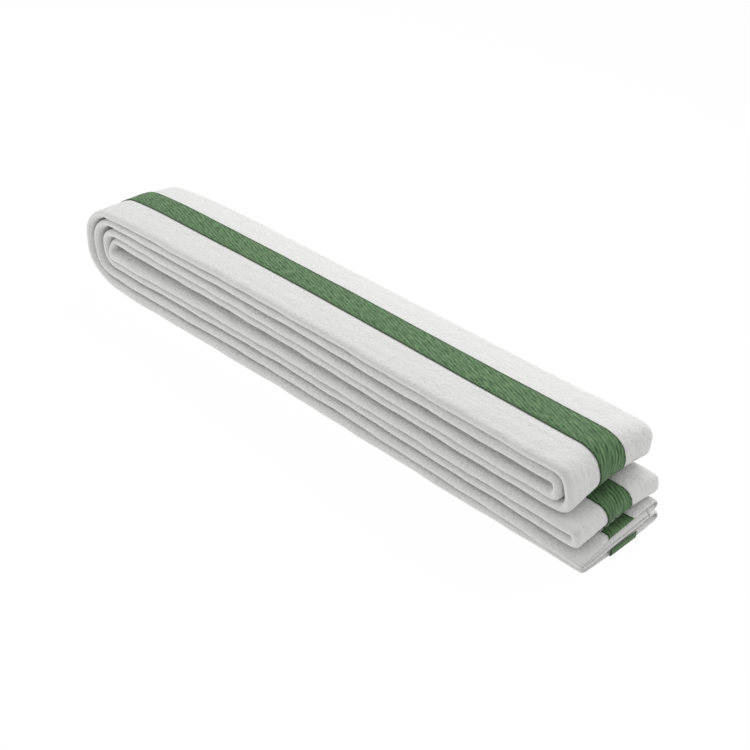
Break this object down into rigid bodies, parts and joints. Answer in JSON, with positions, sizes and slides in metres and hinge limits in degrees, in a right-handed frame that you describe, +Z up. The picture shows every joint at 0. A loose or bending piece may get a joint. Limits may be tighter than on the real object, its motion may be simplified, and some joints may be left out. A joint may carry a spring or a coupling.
{
  "type": "martial arts belt",
  "caption": "Padded white cotton martial arts belt with a green centre stripe, folded in half three times into a flat-topped bundle.",
  "frame": {"origin": "centre of the bundle's footprint, on the surface it lies on", "axes": "+X along the bundle towards the belt's two cut ends, Y across the belt's width, +Z up through the eight layers"},
  "size_m": [0.275, 0.04, 0.0393],
  "materials": {
    "white_cotton": "bleached plain-woven cotton",
    "core_felt": "unbleached needled cotton interlining",
    "green_tape": "twill-woven tape",
    "white_thread": "spun sewing thread",
    "green_thread": "spun sewing thread"
  },
  "bodies": {
    "root": {"cotton_cover": "white_cotton", "core_ply_1": "core_felt", "core_ply_2": "core_felt", "core_ply_3": "core_felt", "stripe_tape": "green_tape", "needle_row_1": "white_thread", "needle_row_2": "white_thread", "needle_row_3": "green_thread", "needle_row_4": "green_thread", "needle_row_5": "white_thread", "needle_row_6": "white_thread", "bobbin_row_1": "white_thread", "bobbin_row_2": "white_thread", "bobbin_row_3": "white_thread", "bobbin_row_4": "white_thread", "bobbin_row_5": "white_thread", "bobbin_row_6": "white_thread", "lower_end_needle_row": "white_thread", "lower_end_bobbin_row": "white_thread", "upper_end_needle_row": "white_thread", "upper_end_bobbin_row": "white_thread"}
  },
  "joints": []
}
